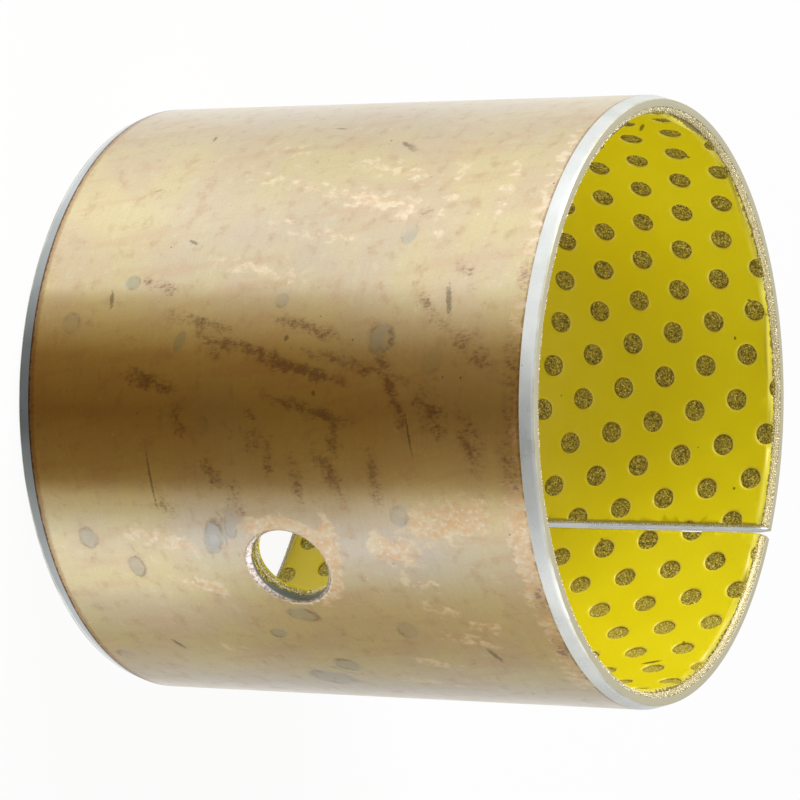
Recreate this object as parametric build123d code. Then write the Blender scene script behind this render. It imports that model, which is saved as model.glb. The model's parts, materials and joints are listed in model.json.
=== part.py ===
from build123d import *
import math
import os

# A wrapped plain bearing bush, standing on one end with its bore along +Z.
# Three layers are bonded into one wall: a steel back, porous sintered bronze on it,
# and an acetal lining that the shaft runs on. The strip was rolled into a ring, so a
# straight gap runs down the wall where its two edges meet, and a round hole lets
# grease through. The origin is the middle of the lower end.

# Driving dimensions, in millimetres and degrees
BORE_DIAMETER = 70.0
LENGTH = 70.0
LINING_THICKNESS = 0.35
BRONZE_THICKNESS = 0.65
STEEL_THICKNESS = 1.5
OUTER_CHAMFER_LENGTH = 1.7
OUTER_CHAMFER_ANGLE = 18.0
INNER_BEVEL_LENGTH = 1.5
INNER_BEVEL_ANGLE = 23.4
SPLIT_GAP = 1.2
SPLIT_DIRECTION = 62.5
OIL_HOLE_DIAMETER = 10.0
OIL_HOLE_FROM_SPLIT = 120.0
OIL_HOLE_EDGE_BREAK = 0.65

# Radii of the faces where one layer ends and the next begins
bore_radius = BORE_DIAMETER / 2
lining_back = bore_radius + LINING_THICKNESS
bronze_back = lining_back + BRONZE_THICKNESS
outside_radius = bronze_back + STEEL_THICKNESS

# What the angles take off the wall at each end
chamfer_drop = OUTER_CHAMFER_LENGTH * math.tan(math.radians(OUTER_CHAMFER_ANGLE))
bevel_depth = INNER_BEVEL_LENGTH * math.tan(math.radians(INNER_BEVEL_ANGLE))

# The grease hole sits halfway along the bush
oil_hole_height = LENGTH / 2
oil_hole_direction = SPLIT_DIRECTION - OIL_HOLE_FROM_SPLIT


def wall_section():
    """The section of the whole wall, chamfered outside and bevelled inside at both ends."""
    corners = [
        (bore_radius, INNER_BEVEL_LENGTH),
        (bore_radius + bevel_depth, 0),
        (outside_radius - chamfer_drop, 0),
        (outside_radius, OUTER_CHAMFER_LENGTH),
        (outside_radius, LENGTH - OUTER_CHAMFER_LENGTH),
        (outside_radius - chamfer_drop, LENGTH),
        (bore_radius + bevel_depth, LENGTH),
        (bore_radius, LENGTH - INNER_BEVEL_LENGTH),
    ]
    return Plane.XZ * make_face(Polyline(*corners, close=True))


def layer_section(inner_radius, outer_radius):
    """The stretch of the wall's section that one layer fills."""
    corner = (Align.MIN, Align.MIN)
    strip = Pos(inner_radius, 0) * Rectangle(outer_radius - inner_radius, LENGTH, align=corner)
    return wall_section() & (Plane.XZ * strip)


def split():
    """The gap between the two edges of the rolled strip, right through the wall."""
    side = (Align.MIN, Align.CENTER, Align.MIN)
    slot = Box(2 * outside_radius, SPLIT_GAP, LENGTH, align=side)
    return Rot(0, 0, SPLIT_DIRECTION) * slot


def oil_hole():
    """The radial grease hole, with its outer edge broken by a cone."""
    hole_radius = OIL_HOLE_DIAMETER / 2
    from_axis = (Align.CENTER, Align.CENTER, Align.MIN)
    drill = Cylinder(hole_radius, 2 * outside_radius, align=from_axis)
    cone_height = 2 * OIL_HOLE_EDGE_BREAK
    cone = Cone(hole_radius, hole_radius + cone_height, cone_height, align=from_axis)
    edge_break = Pos(0, 0, outside_radius - OIL_HOLE_EDGE_BREAK) * cone
    outwards = Vector(1, 0, 0).rotate(Axis.Z, oil_hole_direction)
    return Plane(origin=(0, 0, oil_hole_height), z_dir=outwards) * (drill + edge_break)


def layer(inner_radius, outer_radius):
    """One bonded layer as a ring, opened by the split and the grease hole."""
    ring = revolve(layer_section(inner_radius, outer_radius), axis=Axis.Z)
    return ring - split() - oil_hole()


layers = {
    "steel_backing": layer(bronze_back, outside_radius),
    "sintered_bronze_layer": layer(lining_back, bronze_back),
    "acetal_lining": layer(bore_radius, lining_back),
}

os.makedirs("parts", exist_ok=True)
for name, solid in layers.items():
    export_step(solid, f"parts/{name}.step")
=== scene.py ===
import json
import math
import bmesh
import bpy
import numpy as np
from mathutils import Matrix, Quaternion, Vector


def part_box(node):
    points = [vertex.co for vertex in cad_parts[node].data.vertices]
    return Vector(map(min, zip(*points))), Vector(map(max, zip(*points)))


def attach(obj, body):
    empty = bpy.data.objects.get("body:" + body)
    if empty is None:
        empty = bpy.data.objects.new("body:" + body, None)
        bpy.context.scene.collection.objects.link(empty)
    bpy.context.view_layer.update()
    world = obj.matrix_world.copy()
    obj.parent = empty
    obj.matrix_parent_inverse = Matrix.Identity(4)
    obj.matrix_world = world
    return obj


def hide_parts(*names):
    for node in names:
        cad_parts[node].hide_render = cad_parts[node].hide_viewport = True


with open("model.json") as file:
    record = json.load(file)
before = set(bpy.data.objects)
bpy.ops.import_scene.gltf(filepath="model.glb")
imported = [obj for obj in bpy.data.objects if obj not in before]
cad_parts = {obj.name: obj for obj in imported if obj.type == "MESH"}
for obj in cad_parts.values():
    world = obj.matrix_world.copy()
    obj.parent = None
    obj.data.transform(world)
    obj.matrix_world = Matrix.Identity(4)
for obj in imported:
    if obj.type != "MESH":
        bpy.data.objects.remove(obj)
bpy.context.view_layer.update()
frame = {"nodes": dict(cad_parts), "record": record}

MM = 0.001


# Sizes of the bush, from the frame


def radii(node):
    """The smallest and largest distance of a CAD node's corners from the bore's axis."""
    away = [math.hypot(v.co.x, v.co.y) for v in frame["nodes"][node].data.vertices]
    return min(away), max(away)


mounts = {mount["name"]: mount for mount in frame["record"]["mounts"]}
BORE_RADIUS = mounts["bore"]["dims"]["r_mm"] * MM
ROUND_BORE = 2 * math.pi * BORE_RADIUS
LINING_BACK = radii("acetal_lining")[1]
BRONZE_BACK = radii("sintered_bronze_layer")[1]
# the CAD ring is made of flats, so the finer ring is drawn a hair inside its box
OUTSIDE = radii("steel_backing")[1] - 0.006 * MM
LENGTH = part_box("steel_backing")[1].z
LINING_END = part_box("acetal_lining")[0].z
BORE_END = (LENGTH - mounts["bore"]["dims"]["length_mm"] * MM) / 2
CHAMFER_LENGTH = (LENGTH - mounts["housing_seat"]["dims"]["length_mm"] * MM) / 2
BEVEL_SLOPE = (LINING_BACK - BORE_RADIUS) / (BORE_END - LINING_END)
BEVEL_DEPTH = BORE_END * BEVEL_SLOPE

# the frame doesn't say these, so they are written as in the part's source
SPLIT_GAP = 1.2 * MM
SPLIT_ANGLE = math.radians(62.5)
HOLE_EDGE_BREAK = 0.65 * MM
CHAMFER_ANGLE = math.radians(18)
CHAMFER_FOOT = OUTSIDE - CHAMFER_LENGTH * math.tan(CHAMFER_ANGLE)

UP = Vector((0, 0, 1))
HOLE_AXIS = Vector(mounts["oil_hole"]["axis"])
HOLE_SIDE = HOLE_AXIS.cross(UP)
HOLE_HEIGHT = mounts["oil_hole"]["pos_m"][2]
HOLE_RADIUS = mounts["oil_hole"]["dims"]["r_mm"] * MM

# Grease pockets: rows that slant along the strip, on a lattice measured from the split
POCKET_RADIUS = 1.42 * MM
POCKET_SHOULDER = 0.45 * MM
FIRST_POCKET = Vector((24.589, 49.555)) * MM
ROW_STEP = Vector((-1.4906, -5.9511)) * MM
COLUMN_STEP = Vector((-5.9053, -1.6531)) * MM

# The bronze is cut back at the ends by the size of its largest grain
GRAIN = 0.13 * MM
BRONZE_END = [
    (LINING_BACK, LINING_END + GRAIN),
    (BORE_RADIUS + BEVEL_DEPTH, GRAIN),
    (BRONZE_BACK, GRAIN),
]
# the grains of the split and of the grease hole stop this far inside the layer's back
GRAIN_MARGIN = 0.05 * MM

# How many flats the rings are made of
BRONZE_STEPS = 360
STEEL_STEPS = 470

# The softened corners of the steel, and how far apart the points of its wall are
EDGE_ROUNDING = 0.05 * MM
WALL_STEP = 0.5 * MM

# Marks on the outside, each seen in the photograph: direction round the bush in degrees,
# height, length and width in mm, turn of its long side away from the bush's axis, strength
COPPER_RUBS = [
    (-131, 40, 26, 1.7, 14, 0.55), (-128.5, 46, 12, 2.4, 14, 0.75), (-137, 46, 11, 2.4, 14, 0.6),
    (-122, 38, 16, 1.8, 14, 0.4), (-114, 32, 12, 1.8, 14, 0.55), (-144, 29, 6, 3, 14, 0.4),
    (-152, 39, 5, 3, 14, 0.35), (-130, 55, 11, 1.8, 90, 0.5), (-132, 62, 9, 1.6, 90, 0.55),
    (-62, 50, 5.5, 2.6, 14, 1.3), (-68, 58, 9.5, 3.2, -10, 1.4), (-62, 41.3, 6.5, 1.8, 90, 1.5),
    (-66, 34, 8, 1.4, 0, 1.3), (-55, 52, 5, 2, 14, 0.6), (-53, 22, 7, 1.6, 14, 0.9),
    (-63, 18, 9, 1.8, 14, 0.85), (-49, 54, 4, 1.6, 14, 0.8), (-45, 59, 4, 1.6, 14, 0.8),
    (-41, 56, 6, 1.4, 14, 0.8), (-33, 49, 6, 1.4, 14, 0.8), (-35, 22, 4, 1.4, 14, 0.6),
    (-24, 46, 9, 1.4, 14, 0.7), (-69, 67.2, 8, 2.4, 90, 1.1), (-58, 67, 8, 2.2, 90, 1.2),
    (-45, 67.3, 7, 1.8, 90, 1.0), (-33, 67, 9, 2, 90, 0.9), (-118, 67.2, 12, 1.6, 90, 0.7),
    (-136, 67.2, 16, 1.4, 90, 0.6),
    (-104, 67.5, 6, 1.4, 90, 0.7), (-84, 67.6, 8, 1.2, 90, 0.7),
]
TARNISH = [
    (-99, 32, 10, 1.4, 14, 1.0), (-95.5, 39, 12, 1.3, 14, 1.1), (-103, 40, 8.5, 1.4, 14, 0.9),
    (-93, 19, 7, 1.8, 14, 0.9), (-111, 19, 5, 1.4, 14, 0.7), (-132, 14, 3, 1.6, 14, 0.6),
    (-126, 52.4, 2, 1.4, 0, 0.8), (-144, 46, 3, 1, 30, 0.7), (-88, 41, 9.5, 1.4, 14, 1.0),
    (-83, 44, 4.5, 1.8, 90, 0.8), (-77, 43, 7, 2, 60, 0.8), (-88, 57, 6, 3, 60, 0.8),
    (-91, 52, 10, 1.4, 70, 0.9), (-100, 27, 6, 2, 40, 0.7), (-76, 27, 4, 2, 60, 0.8),
    (-84, 33, 5, 2.4, 90, 0.6), (-78, 67, 7, 2.4, 90, 0.75), (-92, 67.2, 14, 2, 90, 0.7),
    (-52, 67.4, 5, 1.4, 90, 0.8), (-40, 67.4, 5, 1.6, 90, 0.8),
    (-112, 67.4, 6, 1.4, 90, 0.7), (-113, 60, 5, 2, 60, 0.5),
    (-76, 49, 7, 1.6, 88, 0.7), (-75, 38.5, 6, 1.6, 90, 0.7), (-72, 30, 5, 2.2, 85, 0.6),
    (-79, 35, 5, 1.2, 90, 0.8), (-82, 62, 6, 2.4, 70, 0.8), (-96, 47, 14, 1.4, 14, 0.8),
    (-99, 62, 7, 2.2, 40, 0.7), (-70, 20, 4, 2, 60, 0.6), (-104, 25, 9, 1.6, 14, 0.7),
    (-86, 23, 4, 2, 80, 0.7), (-106, 56, 6, 1.6, 50, 0.6),
]
# thin dark nicks
NICKS = [
    (-108.4, 12.4, 2.4, 0.6, 84), (-108, 58.3, 4.0, 0.8, 80), (-84, 54, 5, 0.3, 82),
    (-36.6, 58, 3.2, 0.8, 70), (-35.7, 14, 2.2, 0.6, 60), (-145, 45, 1.8, 0.7, 40),
    (-75, 18.5, 7, 0.35, 86), (-120, 22, 1.6, 0.5, 20), (-101, 37.4, 0.7, 0.7, 0),
    (-91, 41.5, 0.6, 0.6, 0), (-149, 17, 1.6, 0.5, 80), (-152, 34, 1.8, 0.4, 10),
]
# grey ghosts of grease pockets: direction, height, length, width, turn
GHOSTS = [
    (-103.8, 7.2, 2.6, 2.6, 0), (-111.6, 14.9, 2.0, 2.0, 0), (-100.4, 22.8, 1.4, 2.4, 20),
    (-121.5, 51.1, 2.2, 3.0, 0), (-108, 36.1, 1.8, 1.8, 0), (-101, 50, 3.4, 3.8, 0),
    (-62.7, 7.9, 2.7, 2.7, 0), (-56.8, 13.7, 2.4, 2.8, 0), (-63.7, 25.8, 2.6, 4.6, 20),
    (-68.3, 29.1, 2.6, 1.7, 30), (-85, 26.3, 1.8, 2.4, 0), (-68.8, 51.7, 2.4, 2.6, 0),
    (-40.8, 29.7, 2.2, 1.8, 0), (-43.2, 48, 2.8, 2.8, 0), (-24.2, 32.4, 6.0, 4.4, 20),
    (-30.6, 36.3, 3.4, 3.0, 0), (-46.3, 34.6, 4.0, 2.2, 10), (-30.6, 4.7, 2.6, 2.6, 0),
    (-97, 57, 2.4, 3.0, 30), (-66, 28.6, 1.8, 3.4, 10),
]
# where the skin is greyer: direction, height, length, width, turn, strength
VEILS = [
    (-118, 34, 30, 14, 10, 0.45), (-64, 45, 26, 9, 5, 0.9), (-66, 27, 10, 8, 0, 0.8),
    (-160, 30, 60, 12, 0, 0.7), (-15, 35, 70, 10, 0, 0.8), (-92, 60, 14, 16, 0, 0.6),
    (-100, 51, 14, 9, 20, 0.7), (-84, 30, 12, 5, 60, 0.5),
]
# dark marks on the lining: direction, height, length, width, turn
LINING_MARKS = [
    (168, 62.9, 3.6, 0.5, 60), (172.8, 67.2, 3.2, 0.25, 60), (152.3, 65.2, 0.5, 0.5, 0),
    (112.4, 66.9, 0.5, 0.35, 0), (104, 64.3, 0.35, 0.5, 0), (71.5, 64.7, 0.4, 0.4, 0),
    (21, 62.5, 2.6, 0.6, 30), (24.4, 60, 0.8, 0.4, 0),
]

# Brightness of the studio as the standing wall mirrors it, by direction round the bush in
# degrees: halfway up, and how many times that near the far end and near the near end, and
# how warm the dark card makes it
REFLECTIONS = [
    (-176, 0.95, 1.0, 1.0, 0.4), (-150, 0.82, 1.05, 1.05, 0.7), (-127, 0.98, 1.08, 1.05, 0.4),
    (-111, 0.88, 1.0, 1.12, 0.8), (-108.8, 0.62, 1.0, 1.36, 1.2), (-98, 0.24, 0.95, 1.2, 1.6),
    (-88, 0.16, 0.95, 1.15, 1.5), (-77.5, 0.225, 0.95, 1.4, 1.4), (-74.5, 0.27, 0.95, 1.4, 1.3),
    (-71.5, 0.46, 1.05, 1.5, 0.9), (-69, 0.53, 1.03, 1.5, 0.8),
    (-62, 0.84, 1.04, 0.85, -0.1), (-52, 0.53, 1.6, 0.98, 0.8), (-46, 0.46, 1.4, 1.05, 1.0),
    (-38, 0.42, 1.2, 1.1, 0.7), (-28, 0.50, 1.1, 1.05, 0.2), (-20, 0.55, 1.05, 1.05, 0.0),
    (-4, 0.9, 1.0, 1.0, 0.1),
]
# The same for the far chamfer, which mirrors the floor at its foot
FAR_CHAMFER = [
    (-176, 0.72), (-135, 0.78), (-117, 0.50), (-100, 0.17), (-84, 0.125), (-68, 0.32),
    (-44, 0.6), (-4, 0.8),
]
# The same round the back, which the photograph doesn't show: soft dark bands on a white floor
BACK_REFLECTIONS = [
    (0, 0.9), (18, 0.85), (34, 0.45), (46, 0.38), (60, 0.7), (80, 0.88), (104, 0.82), (122, 0.4),
    (134, 0.3), (148, 0.55), (164, 0.85), (180, 0.9),
]
# The camera, and the turn that lays the upright bush on its side in the picture
CAMERA_PLACE = Vector((0.0, -430.8, 263.0)) * MM
CAMERA_AIM = Vector((0.0, 0.0, 33.0)) * MM
CAMERA_LENS = 173.77
CAMERA_SENSOR = 36.0
CAMERA_ROLL = math.radians(90.53)

# How bright the white floor looks, to the camera and in mirrors
FLOOR_GLOW = 0.92
# The cards in front lie this high, and the ones behind half as high
CARD_LIE = 0.1 * MM


# Making meshes


def on_circle(radius, angle, height):
    """A point at a distance and a direction from the bore's axis."""
    return radius * math.cos(angle), radius * math.sin(angle), height


def strip_point(along, height, radius):
    """A point of the rolled strip: along is measured round the bore from the split."""
    return on_circle(radius, SPLIT_ANGLE + along / BORE_RADIUS, height)


def new_piece(name, vertices, faces, smooth=True):
    """A mesh object at the origin."""
    mesh = bpy.data.meshes.new(name)
    mesh.from_pydata(vertices, [], faces)
    mesh.polygons.foreach_set("use_smooth", [smooth] * len(faces))
    piece = bpy.data.objects.new(name, mesh)
    bpy.context.scene.collection.objects.link(piece)
    return piece


def edit(piece, *jobs):
    """Runs bmesh jobs on a piece's mesh."""
    for job in jobs:
        bm = bmesh.new()
        bm.from_mesh(piece.data)
        job(bm)
        bm.to_mesh(piece.data)
        bm.free()


def shells(bm):
    """The faces of each separate closed shell of a mesh."""
    left = set(bm.faces)
    while left:
        shell = [left.pop()]
        for face in shell:
            for edge in face.edges:
                for neighbour in edge.link_faces:
                    if neighbour in left:
                        left.remove(neighbour)
                        shell.append(neighbour)
        yield shell


def face_outwards(bm):
    """Turns the faces of every closed shell outwards."""
    bmesh.ops.recalc_face_normals(bm, faces=bm.faces)
    inside_out = []
    for shell in shells(bm):
        volume = 0.0
        for face in shell:
            corners = [v.co for v in face.verts]
            for second, third in zip(corners[1:], corners[2:]):
                volume += corners[0].dot(second.cross(third))
        if volume < 0:
            inside_out += shell
    bmesh.ops.reverse_faces(bm, faces=inside_out)


def dress(piece, *finishes):
    """Gives a piece its materials, and the first one to every face."""
    piece.data.materials.clear()
    for material in finishes:
        piece.data.materials.append(material)
    piece.data.polygons.foreach_set("material_index", [0] * len(piece.data.polygons))


def places(piece):
    """Every point of a piece, one to a row."""
    flat = np.empty(3 * len(piece.data.vertices))
    piece.data.vertices.foreach_get("co", flat)
    return flat.reshape(-1, 3)


def strip_places(piece, radius):
    """Where the points of a piece lie on the flat strip: how far round from the split, and up."""
    at = places(piece)
    angle = (np.arctan2(at[:, 1], at[:, 0]) - SPLIT_ANGLE) % (2 * math.pi)
    return angle * radius, at[:, 2]


def unroll(piece, radius):
    """Gives a piece a UV map that is the flat strip it was rolled from, in metres."""
    along, height = strip_places(piece, radius)
    corner = np.empty(len(piece.data.loops), dtype=np.int64)
    piece.data.loops.foreach_get("vertex_index", corner)
    flat = np.stack([along[corner], height[corner]], 1).ravel()
    piece.data.uv_layers.new(name="strip").data.foreach_set("uv", flat)


def store(piece, name, values):
    """Keeps a number, or three, for every point of a piece."""
    values = np.asarray(values, dtype=np.float32)
    kind, slot = ("FLOAT", "value") if values.ndim == 1 else ("FLOAT_VECTOR", "vector")
    piece.data.attributes.new(name, kind, "POINT").data.foreach_set(slot, values.ravel())


def net(rows, columns, closed=False, first=0):
    """The faces between the points of a net, row by row, and back to the first row if closed."""
    faces = []
    for row in range(rows if closed else rows - 1):
        for column in range(columns - 1):
            a = first + row * columns + column
            b = first + (row + 1) % rows * columns + column
            faces.append([a, b, b + 1, a + 1])
    return faces


def rolled_ring(name, section, steps):
    """A closed section of (radius, height) corners swept round from edge to edge of the split."""
    count = len(section)
    vertices = []
    for step in range(steps + 1):
        for radius, height in section:
            edge = math.asin(SPLIT_GAP / 2 / radius)
            angle = SPLIT_ANGLE + edge + (2 * math.pi - 2 * edge) * step / steps
            vertices.append(on_circle(radius, angle, height))
    faces = [list(range(count)), list(range(steps * count, (steps + 1) * count))]
    for step in range(steps):
        for corner in range(count):
            after = (corner + 1) % count
            a = step * count
            faces.append([a + corner, a + after, a + count + after, a + count + corner])
    ring = new_piece(name, vertices, faces)
    edit(ring, face_outwards)
    return ring


def rounded(corners, radius):
    """The corners of a closed section, each one softened into a short curve."""
    steps = 3
    soft = []
    for i, here in enumerate(corners):
        here = Vector(here)
        before = Vector(corners[i - 1])
        after = Vector(corners[(i + 1) % len(corners)])
        start = here + (before - here).normalized() * radius
        end = here + (after - here).normalized() * radius
        for k in range(steps + 1):
            t = k / steps
            soft.append((start * (1 - t) ** 2 + here * 2 * t * (1 - t) + end * t**2)[:])
    return soft


def divided(corners, step):
    """The corners of a closed section with more of them on its long straight sides."""
    fine = []
    for i, here in enumerate(corners):
        after = corners[(i + 1) % len(corners)]
        parts = max(1, round(math.dist(here, after) / step))
        for k in range(parts):
            fine.append([h + (a - h) * k / parts for h, a in zip(here, after)])
    return fine


def grease_drill(edge_break):
    """The solid that the grease hole takes out of a layer, along the hole's own axis."""
    inner = 0.8 * BORE_RADIUS
    profile = [(HOLE_RADIUS, inner), (HOLE_RADIUS, 1.1 * OUTSIDE)]
    if edge_break:
        profile = [
            (HOLE_RADIUS, inner),
            (HOLE_RADIUS, OUTSIDE - edge_break),
            (HOLE_RADIUS + 2 * edge_break, OUTSIDE + edge_break),
        ]
    turns = 128
    vertices = []
    for turn in range(turns):
        angle = 2 * math.pi * turn / turns
        out = HOLE_SIDE * math.cos(angle) + UP * math.sin(angle)
        for away, depth in profile:
            vertices.append(HOLE_AXIS * depth + out * away + UP * HOLE_HEIGHT)
    rings = len(profile)
    faces = net(turns, rings, closed=True)
    for lid in (0, rings - 1):
        faces.append([turn * rings + lid for turn in range(turns)])
    drill = new_piece("grease_drill", vertices, faces)
    edit(drill, face_outwards)
    return drill


def evaluated(piece):
    """The piece with its modifiers worked into its mesh, and the modifiers gone."""
    graph = bpy.context.evaluated_depsgraph_get()
    mesh = bpy.data.meshes.new_from_object(piece.evaluated_get(graph))
    piece.modifiers.clear()
    piece.data = mesh
    return piece


def drill_grease_hole(piece, edge_break=0.0):
    """Takes the grease hole out of a piece."""
    drill = grease_drill(edge_break)
    cut = piece.modifiers.new("grease hole", "BOOLEAN")
    cut.operation = "DIFFERENCE"
    cut.solver = "MANIFOLD"
    cut.object = drill
    evaluated(piece)
    bpy.data.objects.remove(drill)


# Node trees


class Value:
    """What comes out of a node, which can be added and multiplied as numbers are."""

    def __init__(self, build, socket):
        self.build = build
        self.socket = socket

    def __add__(self, other):
        return self.build.math("ADD", self, other)

    def __sub__(self, other):
        return self.build.math("SUBTRACT", self, other)

    def __rsub__(self, other):
        return self.build.math("SUBTRACT", other, self)

    def __mul__(self, other):
        return self.build.math("MULTIPLY", self, other)

    def __truediv__(self, other):
        return self.build.math("DIVIDE", self, other)

    def scaled(self, amount):
        """A vector, or a colour, times a number."""
        scale = {"operation": "SCALE"}
        return self.build.out("ShaderNodeVectorMath", scale, Vector=self, Scale=amount)

    def step(self, low, high):
        """Rises smoothly from 0 to 1 while the value goes from low to high."""
        smooth = {"interpolation_type": "SMOOTHSTEP"}
        return self.build.out("ShaderNodeMapRange", smooth, Value=self, From_Min=low, From_Max=high)

    def spread(self, low, high):
        """Spreads a value that goes from 0 to 1 over low to high."""
        return self.build.out("ShaderNodeMapRange", None, Value=self, To_Min=low, To_Max=high)


class Tree:
    """A node tree under construction, for materials and Geometry Nodes alike."""

    def __init__(self, tree):
        self.tree = tree
        self.nodes = tree.nodes
        self.links = tree.links

    def add(self, kind, settings=None, **inputs):
        """Adds a node with its settings and inputs."""
        node = self.nodes.new(kind)
        for name, value in (settings or {}).items():
            setattr(node, name, value)
        return self.fill(node, **inputs)

    def out(self, kind, settings=None, output=0, **inputs):
        """Adds a node and gives one of its outputs."""
        return Value(self, self.add(kind, settings, **inputs).outputs[output])

    def fill(self, node, **inputs):
        """Sets or links inputs of a node by their names, written with _ for a space."""
        for name, value in inputs.items():
            self.set(node, name.replace("_", " "), value)
        return node

    def set(self, node, name, value):
        """Sets or links an input, found by its number or its name."""
        if isinstance(name, int):
            socket = node.inputs[name]
        else:
            matches = [s for s in node.inputs if s.name == name and s.enabled]
            socket = matches[0] if matches else node.inputs[name]
        if isinstance(value, Value):
            value = value.socket
        elif isinstance(value, bpy.types.Node):
            value = next(s for s in value.outputs if s.enabled)
        if isinstance(value, bpy.types.NodeSocket):
            self.links.new(value, socket)
        elif socket.type == "RGBA" and len(value) == 3:
            socket.default_value = (*value, 1)
        else:
            socket.default_value = value

    def in_order(self, node, values, output):
        """Sets the inputs of a node in their order and gives one of its outputs."""
        for i, value in enumerate(values):
            self.set(node, i, value)
        return Value(self, node.outputs[output])

    def math(self, operation, *values):
        return self.in_order(self.add("ShaderNodeMath", {"operation": operation}), values, 0)

    def vector(self, operation, *values):
        node = self.add("ShaderNodeVectorMath", {"operation": operation})
        is_number = operation in ("LENGTH", "DOT_PRODUCT")
        return self.in_order(node, values, "Value" if is_number else "Vector")

    def across(self, place):
        """How far a place is from the middle, whatever its height."""
        return self.vector("LENGTH", self.vector("MULTIPLY", place, (1, 1, 0)))

    def blend(self, amount, first, second):
        """A colour on its way from the first to the second."""
        node = self.add("ShaderNodeMix", {"data_type": "RGBA"})
        for place, value in ((0, amount), (6, first), (7, second)):
            self.set(node, place, value)
        return Value(self, node.outputs[2])

    def coated(self, colour, coats):
        """A colour under one coat after another, each of them an amount and its own colour."""
        for amount, coat in coats:
            colour = self.blend(amount, colour, coat)
        return colour

    def tinted(self, amount, colour, tint):
        """A colour on its way to what is left of it under a tint."""
        return self.blend(amount, colour, self.vector("MULTIPLY", colour, tint))

    def noise(self, place, size, detail=2.0, roughness=0.5):
        """Cloudy noise from 0 to 1, with lumps of about the given size."""
        return self.out("ShaderNodeTexNoise", {"noise_dimensions": "3D"}, Vector=place,
                        Scale=1 / size, Detail=detail, Roughness=roughness)

    def uneven(self, place, size, detail=2.0, roughness=0.5):
        """Cloudy noise round 0, most of it between -1 and 1."""
        return (self.noise(place, size, detail, roughness) - 0.5) * 8.0

    def streaks(self, place, sizes, turn, detail, roughness=0.5):
        """The same with lumps that are longer one way, and turned."""
        return self.uneven(self.stretched(place, sizes, turn), 1.0, detail, roughness)

    def cells(self, place, size):
        """Points scattered about a size apart: how far the nearest is, and its own numbers."""
        node = self.add("ShaderNodeTexVoronoi", None, Vector=place, Scale=1 / size)
        return Value(self, node.outputs["Distance"]), self.parts(node.outputs["Color"])

    def stretched(self, place, sizes, turn=0.0, middle=(0.0, 0.0)):
        """A place seen from a middle, turned, and measured in the given sizes."""
        return self.out("ShaderNodeMapping", {"vector_type": "TEXTURE"}, Vector=place,
                        Location=(*middle, 0), Rotation=(0, 0, turn), Scale=(*sizes, 1))

    def kept(self, name, output="Fac"):
        """What is stored on the piece's points."""
        return self.out("ShaderNodeAttribute", {"attribute_name": name}, output)

    def object_place(self):
        return self.out("ShaderNodeTexCoord", None, "Object")

    def strip_place(self):
        return self.out("ShaderNodeUVMap", {"uv_map": "strip"})

    def parts(self, vector):
        """The three numbers of a vector or a colour."""
        node = self.add("ShaderNodeSeparateXYZ", None, Vector=vector)
        return [Value(self, part) for part in node.outputs]

    def bump(self, height, distance, below=None):
        node = self.add("ShaderNodeBump", None, Height=height, Distance=distance)
        if below is not None:
            self.set(node, "Normal", below)
        return Value(self, node.outputs[0])

    def mirrored_ray(self):
        """1 for light on its way from a mirror or through glass, and the other kinds of ray."""
        rays = self.add("ShaderNodeLightPath").outputs
        return self.math("MAXIMUM", rays["Is Glossy Ray"], rays["Is Transmission Ray"]), rays

    def random(self, kind, seed, **limits):
        """A random number or vector for each point."""
        node = self.add("FunctionNodeRandomValue", {"data_type": kind}, **limits)
        self.set(node, "Seed", seed)
        return Value(self, next(s for s in node.outputs if s.enabled))


SOCKETS = (
    (bool, "Bool"), (int, "Int"), (float, "Float"), (tuple, "Vector"), (bpy.types.Material, "Material"),
)


def geometry_tree(name, values):
    """A Geometry Nodes tree with an input for each value: its builder, what comes in, its output."""
    tree = bpy.data.node_groups.new(name, "GeometryNodeTree")
    tree.interface.new_socket("Geometry", in_out="INPUT", socket_type="NodeSocketGeometry")
    for label, value in values.items():
        kind = next(kind for of, kind in SOCKETS if isinstance(value, of))
        tree.interface.new_socket(label, in_out="INPUT", socket_type="NodeSocket" + kind)
    tree.interface.new_socket("Geometry", in_out="OUTPUT", socket_type="NodeSocketGeometry")
    build = Tree(tree)
    given = {socket.name: Value(build, socket) for socket in build.add("NodeGroupInput").outputs}
    return build, given, build.add("NodeGroupOutput")


def run_tree(piece, plan, values):
    """Makes a Geometry Nodes tree, sets its inputs and works it into a piece's mesh."""
    tree = plan(values)
    modifier = piece.modifiers.new(tree.name, "NODES")
    modifier.node_group = tree
    for item in tree.interface.items_tree:
        if item.in_out == "INPUT" and item.name in values:
            modifier[item.identifier] = values[item.name]
    return evaluated(piece)


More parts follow.
